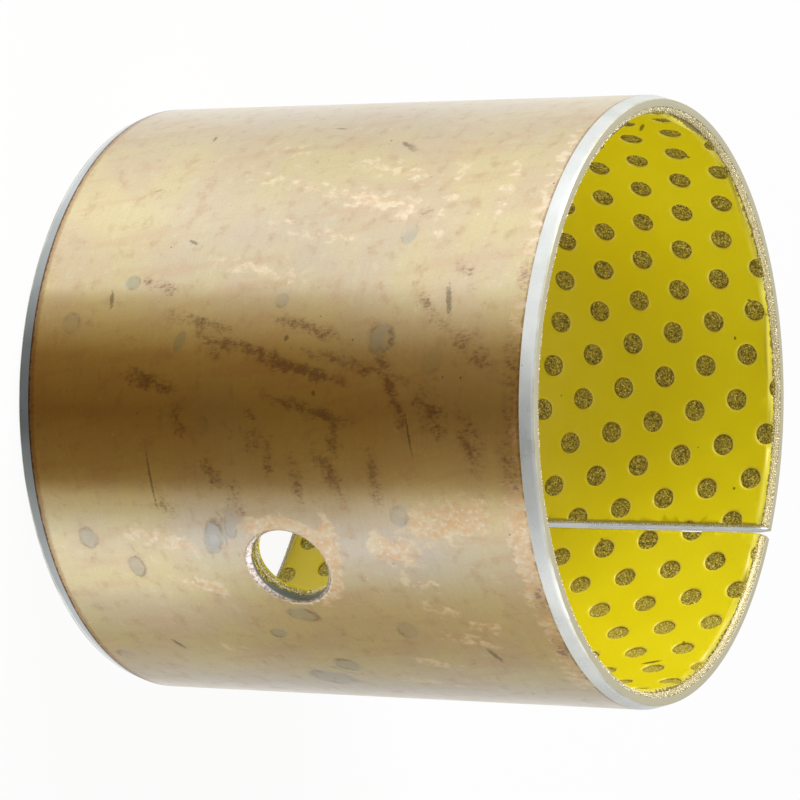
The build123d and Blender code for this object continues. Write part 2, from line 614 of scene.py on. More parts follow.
def pocket_lattice_tree(values):
    """Repeats one pocket's mesh over the flat strip, joins the copies and roughens their rims."""
    build, given, result = geometry_tree("pocket lattice", values)
    index = build.out("GeometryNodeInputIndex")
    row = build.math("FLOOR", index / given["Columns"])
    column = index - row * given["Columns"]
    row = build.math("ROUND", row - given["Rows"] * 0.5)
    column = build.math("ROUND", column - given["Columns"] * 0.5)
    off_row = given["Row step"].scaled(row)
    off_column = given["Column step"].scaled(column)
    place = build.vector("ADD", given["First pocket"], build.vector("ADD", off_row, off_column))
    points = build.out("GeometryNodePoints", Count=given["Rows"] * given["Columns"], Position=place)

    at = build.parts(build.add("GeometryNodeInputPosition"))
    beyond = []
    for side, size in ((0, "Strip length"), (1, "Strip height")):
        beyond.append(build.math("LESS_THAN", at[side], given["Margin"] * -1.0))
        beyond.append(build.math("GREATER_THAN", at[side], given[size] + given["Margin"]))
    off = beyond[0] + beyond[1] + (beyond[2] + beyond[3])
    kept = build.add("GeometryNodeDeleteGeometry", {"domain": "POINT"},
                     Geometry=points, Selection=off)

    turn = build.random("FLOAT", given["Seed"], Min=0.0, Max=2 * math.pi) * given["Turned"]
    spin = build.add("ShaderNodeCombineXYZ", None, Z=turn)
    copies = build.add("GeometryNodeInstanceOnPoints", None, Points=kept,
                       Instance=given["Geometry"], Rotation=spin)
    whole = build.add("GeometryNodeRealizeInstances", None, Geometry=copies)
    joined = build.add("GeometryNodeMergeByDistance", None, Geometry=whole, Distance=0.002 * MM)

    rough = build.out("GeometryNodeInputNamedAttribute", {"data_type": "FLOAT"}, Name="rough")
    noise = build.out("ShaderNodeTexNoise", {"noise_dimensions": "3D"}, "Color",
                      Detail=1.0, Scale=given["Grain"])
    shake = build.vector("SUBTRACT", noise, (0.5, 0.5, 0.5))
    moved = shake.scaled(given["Roughness"] * rough)
    shaken = build.add("GeometryNodeSetPosition", None, Geometry=joined, Offset=moved)
    finished = build.add("GeometryNodeSetMaterial", None, Geometry=shaken, Material=given["Finish"])
    build.set(result, "Geometry", finished)
    return build.tree


def grain_tree(values):
    """Covers a surface with grains of bronze, each its own size, shape and tone."""
    build, given, result = geometry_tree("bronze grains", values)
    apart = {"distribute_method": "POISSON"}
    points = build.out("GeometryNodeDistributePointsOnFaces", apart, "Points",
                       Mesh=given["Geometry"], Distance_Min=given["Spacing"],
                       Density_Max=given["Density"], Seed=given["Seed"])
    grain = build.add("GeometryNodeMeshIcoSphere", None, Radius=1.0, Subdivisions=1)
    limits = {}
    for limit, label in (("Min", "Smallest"), ("Max", "Largest")):
        side = given[label]
        limits[limit] = build.add("ShaderNodeCombineXYZ", None, X=side, Y=side, Z=side)
    size = build.random("FLOAT_VECTOR", given["Seed"], **limits)
    turn = build.random("FLOAT_VECTOR", given["Seed"] + 1.0, Max=(2 * math.pi,) * 3)
    copies = build.add("GeometryNodeInstanceOnPoints", None, Points=points, Instance=grain,
                       Rotation=turn, Scale=size)
    tone = build.random("FLOAT", given["Seed"] + 2.0)
    each = {"data_type": "FLOAT", "domain": "INSTANCE"}
    toned = build.add("GeometryNodeStoreNamedAttribute", each, Geometry=copies, Name="tone", Value=tone)
    whole = build.add("GeometryNodeRealizeInstances", None, Geometry=toned)
    finished = build.add("GeometryNodeSetMaterial", None, Geometry=whole, Material=given["Finish"])
    build.set(result, "Geometry", finished)
    return build.tree


def trim_strip(bm):
    """Cuts the flat strip at the split and along the bevel of each end, and closes the cuts."""
    split = SPLIT_GAP / 2
    middle = Vector((ROUND_BORE / 2, LENGTH / 2, 0))
    cuts = [
        (Vector((split, 0, 0)), Vector((-1, 0, 0))),
        (Vector((ROUND_BORE - split, 0, 0)), Vector((1, 0, 0))),
        (Vector((0, BORE_END, 0)), Vector((0, -BEVEL_SLOPE, -1)).normalized()),
        (Vector((0, LENGTH - BORE_END, 0)), Vector((0, BEVEL_SLOPE, -1)).normalized()),
    ]
    for place, away in cuts:
        if (middle - place).dot(away) > 0:
            away = -away
        everything = bm.verts[:] + bm.edges[:] + bm.faces[:]
        bmesh.ops.bisect_plane(bm, geom=everything, dist=1e-7, plane_co=place, plane_no=away,
                               clear_outer=True)
        rim = [e for e in bm.edges if e.is_boundary]
        bmesh.ops.holes_fill(bm, edges=rim, sides=0)


def roll_strip(bm):
    """Rolls the flat strip into the bush: depth below the running surface becomes radius."""
    for vertex in bm.verts:
        along, height, depth = vertex.co
        vertex.co = strip_point(along, height, BORE_RADIUS + depth)
    face_outwards(bm)


def spread_over_strip(tile, finish, **values):
    """Spreads one pocket's mesh over the strip, rolls the strip up and drills the grease hole."""
    rows = 2 * math.ceil((ROUND_BORE + LENGTH) / ROW_STEP.length)
    sizes = {
        "Rows": rows,
        "Columns": rows,
        "First pocket": (*FIRST_POCKET, 0.0),
        "Row step": (*ROW_STEP, 0.0),
        "Column step": (*COLUMN_STEP, 0.0),
        "Strip length": ROUND_BORE,
        "Strip height": LENGTH,
        "Margin": ROW_STEP.length,
        "Turned": False,
        "Seed": 0,
        "Finish": finish,
        **values,
    }
    layer = run_tree(tile, pocket_lattice_tree, sizes)
    edit(layer, trim_strip, roll_strip)
    drill_grease_hole(layer)
    dress(layer, finish)
    store(layer, "from_pocket", from_pocket(layer))
    return layer


def hexagon():
    """The six corners of one pocket's share of the strip."""
    a, b = ROW_STEP, COLUMN_STEP
    half = [(a + b) / 3, (2 * a - b) / 3, (a - 2 * b) / 3]
    return half + [-corner for corner in half]


def from_pocket(piece):
    """How far each point of a piece is from the middle of its nearest pocket."""
    along, height = strip_places(piece, BORE_RADIUS)
    steps = np.array([ROW_STEP, COLUMN_STEP])
    off = np.stack([along, height], 1) - np.array(FIRST_POCKET)
    count = np.floor(off @ np.linalg.inv(steps))
    away = np.full(len(off), np.inf)
    for row in (0, 1):
        for column in (0, 1):
            middle = (count + (row, column)) @ steps
            away = np.minimum(away, np.hypot(*(off - middle).T))
    return away


# Materials


def finish(name):
    """An empty material, the builder of its nodes and its surface shader."""
    material = bpy.data.materials.new(name)
    material.use_nodes = True
    build = Tree(material.node_tree)
    return material, build, build.nodes["Principled BSDF"]


def bronze_flash():
    """The thin bronze skin on the outside: rolled, rubbed to copper, spotted and stained."""
    material, build, shader = finish("bronze flash on steel")
    strip = build.strip_place()
    height = build.parts(strip)[1]
    clouds = build.uneven(strip, 9 * MM, 3.0)
    drifts = build.streaks(strip, (2.2 * MM, 14 * MM), 0.2, 3.0)
    blots = build.uneven(strip, 2.2 * MM, 4.0, 0.6)
    fine = build.uneven(strip, 0.3 * MM, 3.0, 0.6)
    rolled = build.streaks(strip, (9 * MM, 0.35 * MM), 0.0, 3.0)
    flecks = build.streaks(strip, (0.5 * MM, 0.7 * MM), 0.3, 4.0, 0.62)
    patches = build.streaks(strip, (1.3 * MM, 1.9 * MM), -0.2, 3.0)
    dashes = build.streaks(strip, (0.22 * MM, 0.9 * MM), 0.1, 4.0, 0.65)

    bronze = build.blend(clouds.step(-0.8, 0.9), (0.78, 0.64, 0.42), (0.81, 0.69, 0.40))
    colour = build.coated(bronze, [
        (build.kept("veil"), (0.74, 0.66, 0.55)),
        (drifts.step(0.0, 1.5) * 0.42, (0.74, 0.53, 0.35)),
        (blots.step(0.1, 1.5) * 0.42, (0.64, 0.45, 0.28)),
        (blots.step(-0.6, -1.6) * 0.35, (0.86, 0.80, 0.60)),
    ])
    colour = colour.scaled(rolled * 0.010 + fine * 0.018 + dashes * 0.014 + 1.0)

    # the far end is browner, and a dark line runs where the skin meets each chamfer
    from_end = height + (flecks + blots) * (0.08 * MM)
    colour = build.coated(colour, [
        (from_end.step(2.7 * MM, 2.2 * MM) * 0.6, (0.46, 0.26, 0.13)),
        (from_end.step(2.0 * MM, 1.85 * MM) * 0.7, (0.13, 0.05, 0.025)),
        (from_end.step(LENGTH - 2.1 * MM, LENGTH - 1.8 * MM) * 0.55, (0.30, 0.17, 0.10)),
    ])
    grime = (blots * 0.5 + flecks * 0.5).step(0.75, 1.7)
    colour = build.tinted(grime * 0.45, colour, (0.62, 0.50, 0.42))

    # rubbed to copper
    mask = build.kept("copper")
    worn_through = mask + (flecks * 0.10 + patches * 0.36)
    rubbed = worn_through.step(0.25, 0.95) * mask.step(0.05, 0.35)
    hue = flecks * 0.45 + patches * 0.7
    copper = build.blend(hue.step(-0.9, 0.9), (0.96, 0.63, 0.37), (1.0, 0.85, 0.61))
    bright = flecks.step(0.35, 1.1) * worn_through.step(0.55, 1.1)
    colour = build.coated(colour, [
        (rubbed * 0.78, copper),
        (bright * rubbed * 0.7, (1.0, 0.94, 0.80)),
    ])

    # red-brown tarnish in speckles
    mask = build.kept("tarnish")
    deep_in = mask + (dashes * 0.18 + flecks * 0.20 + patches * 0.20)
    halo = deep_in.step(0.1, 1.1) * mask.step(0.04, 0.5)
    colour = build.tinted(halo * 0.5, colour, (0.66, 0.56, 0.56))
    stained = deep_in.step(0.50, 1.20) * mask.step(0.04, 0.35)
    colour = build.tinted(stained * 0.66, colour, (0.42, 0.30, 0.27))

    # grey ghosts of the pockets, mostly just a darker edge
    ghost = build.kept("ghost", "Vector")
    wobble = build.uneven(strip, 1.1 * MM, 3.0) * 0.13 + fine * 0.04
    away = build.across(ghost) + wobble
    faded = build.parts(ghost)[2].step(0.5, 0.9) * clouds.step(-2.2, 0.8)
    filled = away.step(1.2, 0.65) * faded * blots.step(1.9, 0.0)
    colour = build.tinted(filled * 0.6, colour, (0.60, 0.72, 0.98))
    edge = build.math("ABSOLUTE", away - 0.95).step(0.28, 0.0)
    edge = edge * faded * blots.step(-0.9, 1.1)
    colour = build.tinted(edge * 0.8, colour, (0.5, 0.5, 0.5))

    # thin dark nicks, and dark or bright specks everywhere
    nick = build.kept("nick", "Vector")
    away = build.across(nick) + fine * 0.25
    nicked = away.step(1.25, 0.5) * build.parts(nick)[2].step(0.5, 0.9)
    colour = build.tinted(nicked * 0.62, colour, (0.25, 0.25, 0.25))
    distance, own = build.cells(strip, 2.3 * MM)
    specks = (own[0].spread(-0.05, 0.085) - (distance + fine * 0.012)).step(0.0, 0.025)
    tone = build.blend(own[1].step(0.55, 0.65), (0.24, 0.16, 0.09), (1.0, 0.90, 0.72))
    colour = build.blend(specks * 0.7, colour, tone)

    worn = build.math("MAXIMUM", rubbed * 0.12, stained * 0.08)
    worn = build.math("MAXIMUM", worn, filled * 0.04)
    waves = build.bump(build.noise(strip, 7 * MM, 2.0), 0.012 * MM)
    lines = build.bump(rolled * 0.1, 0.002 * MM, waves)
    hammered = build.bump(blots * 0.1, 0.006 * MM, lines)
    build.fill(shader, Base_Color=colour, Metallic=1.0,
               Roughness=clouds * 0.02 + blots * 0.02 + 0.18 + worn,
               Normal=build.bump(fine * 0.06 - rubbed * 0.5, 0.003 * MM, hammered))
    return material


def from_hole_axis(build, place):
    """How far a point is from the grease hole's own axis."""
    off = build.vector("SUBTRACT", place, (0.0, 0.0, HOLE_HEIGHT))
    return build.vector("LENGTH", build.vector("CROSS_PRODUCT", off, tuple(HOLE_AXIS)))


def cut_steel():
    """Bare steel where the blank was turned, sheared and drilled."""
    material, build, shader = finish("cut steel")
    place = build.object_place()
    height = build.parts(place)[2]
    radius = build.across(place)
    clouds = build.noise(place, 4 * MM, 3.0)
    fine = build.noise(place, 0.12 * MM, 2.0, 0.7)
    lumps = build.noise(place, 0.5 * MM, 3.0, 0.7)
    section = build.add("ShaderNodeCombineXYZ", None, X=radius, Y=height)
    turned = build.noise(section, 0.06 * MM, 2.0)
    steel = build.blend(clouds.step(0.35, 0.65), (0.78, 0.81, 0.79), (0.85, 0.875, 0.85))

    # the end faces are beige and rougher towards the bronze, and the beige reaches over the rounded
    # corner at the chamfer's foot as painted shade that dulls that corner's highlight; the sheared
    # edges at the split are bright
    around = from_hole_axis(build, place)
    wall = around.step(HOLE_RADIUS * 1.4, HOLE_RADIUS * 1.3)
    clouded = radius + clouds * (0.3 * MM)
    from_end = build.math("MINIMUM", height, LENGTH - height)
    end_and_hole = build.math("MAXIMUM", wall, from_end.step(0.35 * MM, 0.2 * MM))
    # painted shade: the beige also covers the chamfer's rounded foot, to dull its highlight
    inner = end_and_hole * clouded.step(CHAMFER_FOOT + 0.30 * MM, CHAMFER_FOOT + 0.10 * MM)

    # the wall of the grease hole is painted dark grey as painted shade, and is smeared with bronze, and
    # its broken edge with copper; the smear stops short of the edge on the side where the drill broke
    # out
    grains = build.noise(place, 0.28 * MM, 2.0, 0.6)
    ragged = build.uneven(place, 0.9 * MM, 2.0) * (0.12 * MM)
    breakout = tuple(-HOLE_SIDE / HOLE_RADIUS)
    bare = build.vector("DOT_PRODUCT", place, breakout).step(0.3, 1.0) * (0.6 * MM)
    deep = (radius + ragged + bare).step(OUTSIDE - 0.62 * MM, OUTSIDE - 0.85 * MM)
    smeared = build.blend(grains.step(0.40, 0.55), (0.22, 0.16, 0.03), (0.62, 0.55, 0.16))
    smeared = build.blend(grains.step(0.60, 0.68), smeared, (1.0, 0.96, 0.62))
    bevel = wall * around.step(HOLE_RADIUS + 0.03 * MM, HOLE_RADIUS + 0.14 * MM)
    pink = build.blend(lumps.step(0.42, 0.6), (0.86, 0.78, 0.74), (0.48, 0.36, 0.30))
    colour = build.coated(steel, [
        (inner * 0.95, (0.51, 0.475, 0.33)),
        # painted shade: the hole's wall is painted dark grey
        (wall, (0.22, 0.25, 0.24)),
        (wall * deep, smeared),
        (bevel, pink),
    ])
    colour = colour.scaled(fine.spread(-0.08, 0.08) + turned.spread(0.95, 1.05))
    distance, own = build.cells(place, 2.0 * MM)
    specks = (own[0].spread(-0.05, 0.10) - distance).step(0.0, 0.03)
    colour = build.blend(specks * 0.45, colour, (0.35, 0.34, 0.33))

    grooves = build.bump(turned, 0.004 * MM)
    dented = build.bump(lumps * wall, 0.10 * MM, grooves)
    build.fill(shader, Base_Color=colour, Metallic=1.0,
               Roughness=clouds.spread(0.22, 0.34) + wall * 0.22 + inner * 0.28,
               Normal=build.bump(fine, 0.006 * MM, dented))
    return material


def bronze_grain():
    """Sintered bronze cut open: bright grains among dark pores."""
    material, build, shader = finish("sintered bronze")
    fine = build.noise(build.object_place(), 0.15 * MM, 2.0, 0.6)
    tone = build.kept("tone") * 0.75 + fine.spread(-0.25, 0.5)
    colour = build.blend(tone.step(0.0, 0.4), (0.38, 0.30, 0.13), (0.95, 0.88, 0.58))
    colour = build.blend(tone.step(0.35, 0.7), colour, (1.0, 0.98, 0.84))
    build.fill(shader, Base_Color=colour, Metallic=0.6, Roughness=fine.spread(0.42, 0.60),
               Normal=build.bump(fine, 0.02 * MM))
    return material


def bronze_floor():
    """The bronze at the bottom of a pocket, dark with old grease."""
    material, build, shader = finish("bronze in the pockets")
    place = build.object_place()
    grains = build.noise(place, 0.17 * MM, 2.0, 0.6)
    patch = build.noise(place, 1.1 * MM, 1.0)
    distance, own = build.cells(place, 0.20 * MM)
    bright = own[0] * 0.5 + grains * 0.6
    grease = build.blend(bright.step(0.28, 0.55), (0.12, 0.085, 0.004), (0.50, 0.41, 0.04))
    colour = build.coated(grease, [
        (bright.step(0.60, 0.85), (0.86, 0.76, 0.22)),
        (distance.step(0.35, 0.62) * 0.6, (0.09, 0.055, 0.006)),
    ])
    colour = build.tinted(patch.step(0.55, 0.8), colour, (0.7, 0.7, 0.7))
    # painted light: the pockets on the +X side, where the light into the bore falls, are painted
    # brighter
    lit_pockets = build.parts(place)[0].step(18 * MM, 36 * MM)
    lit_floor = build.vector("ADD", colour.scaled(0.6), (0.42, 0.36, 0.06))
    # painted shade: the floor is painted darker round its rim, where it meets the pocket's wall
    rim = build.kept("from_pocket").step(0.80 * POCKET_RADIUS, POCKET_RADIUS)
    colour = build.coated(colour, [
        (lit_pockets * 0.75, lit_floor),
        (rim * 0.4, (0.22, 0.15, 0.01)),
    ])
    build.fill(shader, Base_Color=colour, Metallic=0.3, Roughness=grains.spread(0.35, 0.55),
               Normal=build.bump(grains - distance, 0.06 * MM))
    return material


def acetal():
    """Yellow acetal, smooth from the press, paler at its lips as a painted highlight, with specks of
    bronze in it.
    """
    material, build, shader = finish("yellow acetal")
    strip = build.strip_place()
    along, height, _ = build.parts(strip)
    clouds = build.noise(strip, 14 * MM, 2.0)
    fine = build.noise(strip, 0.5 * MM, 3.0, 0.6)
    yellow = build.blend(clouds.step(0.3, 0.7), (0.765, 0.655, 0.004), (0.795, 0.695, 0.009))
    yellow = yellow.scaled(fine.spread(0.97, 1.03))

    # the pockets' shoulders, painted paler as a painted highlight, and their walls, the bevel and the
    # crevice behind it at each end, and the ragged darker edges along the split
    away = build.kept("from_pocket")
    from_end = build.math("MINIMUM", height, LENGTH - height)
    from_split = build.math("MINIMUM", along, ROUND_BORE - along)
    ragged = (build.noise(strip, 0.5 * MM, 3.0) - 0.5) * (0.35 * MM)
    shoulder = away.step(POCKET_RADIUS + POCKET_SHOULDER, POCKET_RADIUS)
    inside = away.step(POCKET_RADIUS + 0.01 * MM, POCKET_RADIUS - 0.06 * MM)
    bevel = from_end.step(BORE_END + 0.15 * MM, BORE_END - 0.1 * MM)
    crevice = (from_end + ragged * 1.8).step(LINING_END + 0.14 * MM, LINING_END + 0.04 * MM)
    split_edges = (from_split + ragged).step(SPLIT_GAP / 2 + 0.18 * MM, SPLIT_GAP / 2 + 0.04 * MM)

    # specks, thicker beside the pockets, and the few larger marks
    distance, own = build.cells(strip, 2.2 * MM)
    beside = away.step(POCKET_RADIUS + 0.9 * MM, POCKET_RADIUS + 0.2 * MM)
    size = own[0].spread(-0.12, 0.075) + beside * 0.06
    specks = (size - (distance + fine * 0.05)).step(-0.03, 0.0)
    marked = None
    for direction, up, length, width, turn in LINING_MARKS:
        middle = ((math.radians(direction) - SPLIT_ANGLE) % (2 * math.pi) * BORE_RADIUS, up * MM)
        sizes = (width / 2 * MM, length / 2 * MM)
        mark = build.vector("LENGTH", build.stretched(strip, sizes, -math.radians(turn), middle))
        marked = mark if marked is None else build.math("MINIMUM", marked, mark)
    wobble = (build.noise(strip, 0.3 * MM) - 0.5) * 0.8
    marked = (marked + wobble).step(1.2, 0.7)
    colour = build.coated(yellow, [
        # painted highlight: the shoulders round the pockets are painted paler
        (shoulder * 0.12, (0.90, 0.80, 0.30)),
        (inside * 0.7, (0.32, 0.22, 0.01)),
        (bevel * 0.5, (0.84, 0.74, 0.10)),
        (crevice * 0.85, (0.16, 0.10, 0.02)),
        (split_edges * 0.45, (0.20, 0.15, 0.05)),
        (specks * 0.7, (0.22, 0.14, 0.01)),
        (marked * 0.85, (0.10, 0.06, 0.01)),
    ])
    ripples = build.bump(build.noise(strip, 3.5 * MM, 1.0), 0.010 * MM)
    build.fill(shader, Base_Color=colour, Roughness=fine.spread(0.30, 0.42), IOR=1.48,
               Normal=build.bump(fine, 0.003 * MM, ripples))
    return material


flash_finish = bronze_flash()
steel_finish = cut_steel()
grain_finish = bronze_grain()
floor_finish = bronze_floor()
acetal_finish = acetal()


# The acetal lining with its grease pockets


def pocket_tile():
    """One pocket and its share of the lining round it, as a slab with a soft-shouldered hole."""
    thickness = LINING_BACK - BORE_RADIUS
    corners = hexagon()
    per_side = 4
    outline = []
    for i, corner in enumerate(corners):
        after = corners[(i + 1) % 6]
        outline += [corner.lerp(after, k / per_side) for k in range(per_side)]
    # distance from the pocket's middle, depth below the running surface, and how rough it is
    rings = [
        (POCKET_RADIUS + POCKET_SHOULDER, 0.0, 0.0),
        (POCKET_RADIUS + 0.45 * POCKET_SHOULDER, 0.014 * MM, 0.2),
        (POCKET_RADIUS + 0.15 * POCKET_SHOULDER, 0.050 * MM, 0.7),
        (POCKET_RADIUS, 0.105 * MM, 1.0),
        (POCKET_RADIUS - 0.05 * MM, 0.19 * MM, 1.0),
        (POCKET_RADIUS - 0.08 * MM, thickness, 0.0),
    ]
    around = len(outline)
    vertices = [(p.x, p.y, 0.0) for p in outline]
    rough = [0.0] * around
    for radius, depth, amount in rings:
        vertices += [(*(p.normalized() * radius), depth) for p in outline]
        rough += [amount] * around
    vertices += [(p.x, p.y, thickness) for p in outline]
    rough += [0.0] * around
    faces = []
    for ring in range(len(rings) + 1):
        for k in range(around):
            after = (k + 1) % around
            a, b = ring * around, (ring + 1) * around
            faces.append([a + k, a + after, b + after, b + k])
    tile = new_piece("acetal_lining_with_pockets", vertices, faces)
    store(tile, "rough", rough)
    return tile


def acetal_lining():
    lining = spread_over_strip(pocket_tile(), acetal_finish, Roughness=0.24 * MM, Grain=1500.0)
    unroll(lining, BORE_RADIUS)
    return lining


# The sintered bronze that shows in the pockets, in the hole, at the ends and at the split


def pocket_floor_tile():
    """The grains of bronze at the bottom of one pocket, as one closed jagged pad."""
    depth = 0.27 * MM
    below = LINING_BACK - BORE_RADIUS + 0.05 * MM
    clearance = 0.01 * MM
    rings = 6
    vertices = [(0.0, 0.0, depth)]
    rough = [1.0]
    for ring in range(1, rings + 1):
        radius = (POCKET_RADIUS - clearance) * ring / rings
        for k in range(6 * ring):
            angle = 2 * math.pi * k / (6 * ring)
            vertices.append((radius * math.cos(angle), radius * math.sin(angle), depth))
            rough.append(1.0 if ring < rings else 0.4)
    faces = []

    def number(ring, k):
        return 0 if ring == 0 else 1 + 3 * ring * (ring - 1) + k % (6 * ring)

    for ring in range(1, rings + 1):
        for sixth in range(6):
            for k in range(ring):
                outer = sixth * ring + k
                inner = sixth * (ring - 1) + k
                start = number(ring - 1, inner)
                after = number(ring, outer + 1)
                faces.append([start, number(ring, outer), after])
                if k < ring - 1:
                    faces.append([start, after, number(ring - 1, inner + 1)])
    edge = [number(rings, k) for k in range(6 * rings)]
    foot = len(vertices)
    for k in edge:
        vertices.append((vertices[k][0], vertices[k][1], below))
        rough.append(0.0)
    for k in range(len(edge)):
        after = (k + 1) % len(edge)
        faces.append([edge[k], foot + k, foot + after, edge[after]])
    faces.append([foot + k for k in range(len(edge))])
    tile = new_piece("bronze_pocket_floors", vertices, faces, smooth=False)
    store(tile, "rough", rough)
    return tile


def pocket_floors():
    tile = pocket_floor_tile()
    return spread_over_strip(
        tile, floor_finish, Roughness=0.22 * MM, Grain=7000.0, Turned=True, Seed=4
    )


def bronze_layer():
    """The bronze layer itself, cut back at its ends by the size of a grain."""
    other_end = [(radius, LENGTH - height) for radius, height in reversed(BRONZE_END)]
    layer = rolled_ring("bronze_layer", BRONZE_END + other_end, BRONZE_STEPS)
    drill_grease_hole(layer)
    dress(layer, grain_finish)
    return layer


def end_patch(near):
    """The cut face of the bronze at one end, without thickness."""
    vertices = []
    for step in range(BRONZE_STEPS + 1):
        along = SPLIT_GAP / 2 + (ROUND_BORE - SPLIT_GAP) * step / BRONZE_STEPS
        for radius, height in BRONZE_END:
            vertices.append(strip_point(along, LENGTH - height if near else height, radius))
    faces = []
    for a in range(3 * BRONZE_STEPS):
        if a % 3 < 2:
            faces.append([a, a + 1, a + 4, a + 3])
    return vertices, faces


def split_and_hole_patches():
    """The bronze that shows on both faces of the split and round the grease hole."""
    vertices = []
    faces = []
    middle = (LINING_BACK + BRONZE_BACK) / 2
    for side in (SPLIT_GAP / 2, 2 * math.pi * middle - SPLIT_GAP / 2):
        first = len(vertices)
        for radius in (LINING_BACK + GRAIN, BRONZE_BACK - GRAIN_MARGIN):
            for height in (LINING_END + GRAIN, LENGTH - LINING_END - GRAIN):
                vertices.append(on_circle(radius, SPLIT_ANGLE + side / middle, height))
        faces.append([first, first + 1, first + 3, first + 2])
    turns = 96
    first = len(vertices)
    for turn in range(turns):
        angle = 2 * math.pi * turn / turns
        across = HOLE_RADIUS * math.cos(angle)
        height = HOLE_HEIGHT + HOLE_RADIUS * math.sin(angle)
        for radius in (LINING_BACK, BRONZE_BACK - GRAIN_MARGIN):
            depth = math.sqrt(radius**2 - across**2)
            vertices.append(HOLE_AXIS * depth + HOLE_SIDE * across + UP * height)
    return vertices, faces + net(turns, 2, closed=True, first=first)


def bronze_grains(name, patch, seed):
    """Grains of bronze over one cut face of the layer."""
    grains = new_piece(name, *patch)
    spacing = 1.7 * GRAIN
    sizes = {
        "Spacing": spacing,
        "Density": 1.4 / spacing**2,
        "Smallest": 0.45 * GRAIN,
        "Largest": GRAIN,
        "Seed": seed,
        "Finish": grain_finish,
    }
    run_tree(grains, grain_tree, sizes)
    dress(grains, grain_finish)
    return grains


# The steel back with its bronze-flashed outside


def within_mark(piece, mark):
    """Where each point of a piece lies in a mark's own outline, along and across: 1 is its edge."""
    direction, height, length, width, turn = mark[:5]
    at = places(piece)
    angle = np.degrees(np.arctan2(at[:, 1], at[:, 0])) - direction
    about = np.radians((angle + 180) % 360 - 180) * OUTSIDE
    up = at[:, 2] - height * MM
    turn = math.radians(turn)
    along = up * math.cos(turn) + about * math.sin(turn)
    across = about * math.cos(turn) - up * math.sin(turn)
    return 2 * along / (length * MM), 2 * across / (width * MM)


def all_round(marks, count, seed):
    """The marks that were seen, and more of their kind round the side that wasn't."""
    chance = np.random.default_rng(seed)
    more = []
    for _ in range(count):
        like = marks[chance.integers(len(marks))]
        more.append((chance.uniform(-4, 184), chance.uniform(5, LENGTH / MM - 5), *like[2:]))
    return marks + more


def cover(piece, marks):
    """How strongly soft marks cover each point of a piece: blunt at their ends, soft at their sides."""
    most = np.zeros(len(piece.data.vertices))
    for mark in marks:
        along, across = within_mark(piece, mark)
        most = np.maximum(most, mark[5] * np.exp(-((0.8 * along) ** 4) - (0.7 * across) ** 2))
    return most


def hole_smear(piece):
    """Copper smeared round the grease hole by the drill, most of it above and on the near side."""
    strength = 1.5
    width = 0.85 * MM
    middle = HOLE_RADIUS + HOLE_EDGE_BREAK + 0.7 * MM
    at = places(piece)
    direction = math.degrees(math.atan2(HOLE_AXIS.y, HOLE_AXIS.x))
    about = np.radians(np.degrees(np.arctan2(at[:, 1], at[:, 0])) - direction) * OUTSIDE
    up = at[:, 2] - HOLE_HEIGHT
    away = np.hypot(about, up)
    toward = (0.8 * up - 0.6 * about) / np.maximum(away, MM)
    side = np.clip(toward * 1.2 + 0.45, 0, 1)
    return strength * side * np.exp(-(((away - middle) / width) ** 2))


def nearest_mark(piece, marks):
    """Each point's place within the crisp mark nearest to it, and 1 where it is close."""
    close_by = 1.4 * MM
    count = len(piece.data.vertices)
    nearest = np.full(count, np.inf)
    result = np.zeros((count, 3))
    for mark in marks:
        along, across = within_mark(piece, mark)
        away = np.hypot(along, across)
        close = away < nearest
        nearest[close] = away[close]
        result[close, 0] = along[close]
        result[close, 1] = across[close]
        reach = 1 + close_by / (min(mark[2:4]) / 2 * MM)
        result[close, 2] = away[close] < reach
    return result


def steel_back():
    corners = [
        (BRONZE_BACK, 0.0),
        (CHAMFER_FOOT, 0.0),
        (OUTSIDE, CHAMFER_LENGTH),
        (OUTSIDE, LENGTH - CHAMFER_LENGTH),
        (CHAMFER_FOOT, LENGTH),
        (BRONZE_BACK, LENGTH),
    ]
    section = []
    for radius, height in divided(rounded(corners, EDGE_ROUNDING), WALL_STEP):
        # the face on the bronze needs no points between its ends
        at_corner = min(height, LENGTH - height) < EDGE_ROUNDING + 0.01 * MM
        if radius > BRONZE_BACK + 1e-7 or at_corner:
            section.append([radius, height])
    back = rolled_ring("steel_back", section, STEEL_STEPS)
    drill_grease_hole(back, HOLE_EDGE_BREAK)
    dress(back, flash_finish, steel_finish)
    # the skin is on the faces that look straight out; the chamfers, which lean more, are bare
    straight = 0.985
    for face in back.data.polygons:
        outward = Vector((face.center.x, face.center.y, 0))
        on_wall = outward.length > OUTSIDE - 0.05 * MM
        on_skin = on_wall and face.normal.dot(outward.normalized()) > straight
        face.material_index = 0 if on_skin else 1
    unroll(back, OUTSIDE)
    rubs = cover(back, all_round(COPPER_RUBS, count=22, seed=3))
    store(back, "copper", np.maximum(rubs, hole_smear(back)))
    store(back, "tarnish", cover(back, all_round(TARNISH, count=18, seed=5)))
    store(back, "veil", cover(back, all_round(VEILS, count=4, seed=9)))
    store(back, "ghost", nearest_mark(back, all_round(GHOSTS, count=14, seed=11)))
    store(back, "nick", nearest_mark(back, all_round(NICKS, count=9, seed=13)))
    return back


# Stage


def look():
    """The camera at the photograph's angle, above the near end."""
    camera = bpy.data.objects.new("camera", bpy.data.cameras.new("camera"))
    bpy.context.scene.collection.objects.link(camera)
    camera.data.sensor_width = CAMERA_SENSOR
    camera.data.lens = CAMERA_LENS
    camera.data.clip_start = 0.01
    camera.data.clip_end = 20.0
    camera.location = CAMERA_PLACE
    camera.rotation_mode = "QUATERNION"
    turned = (CAMERA_AIM - CAMERA_PLACE).to_track_quat("-Z", "Y")
    camera.rotation_quaternion = turned @ Quaternion((0, 0, 1), CAMERA_ROLL)
    bpy.context.scene.camera = camera


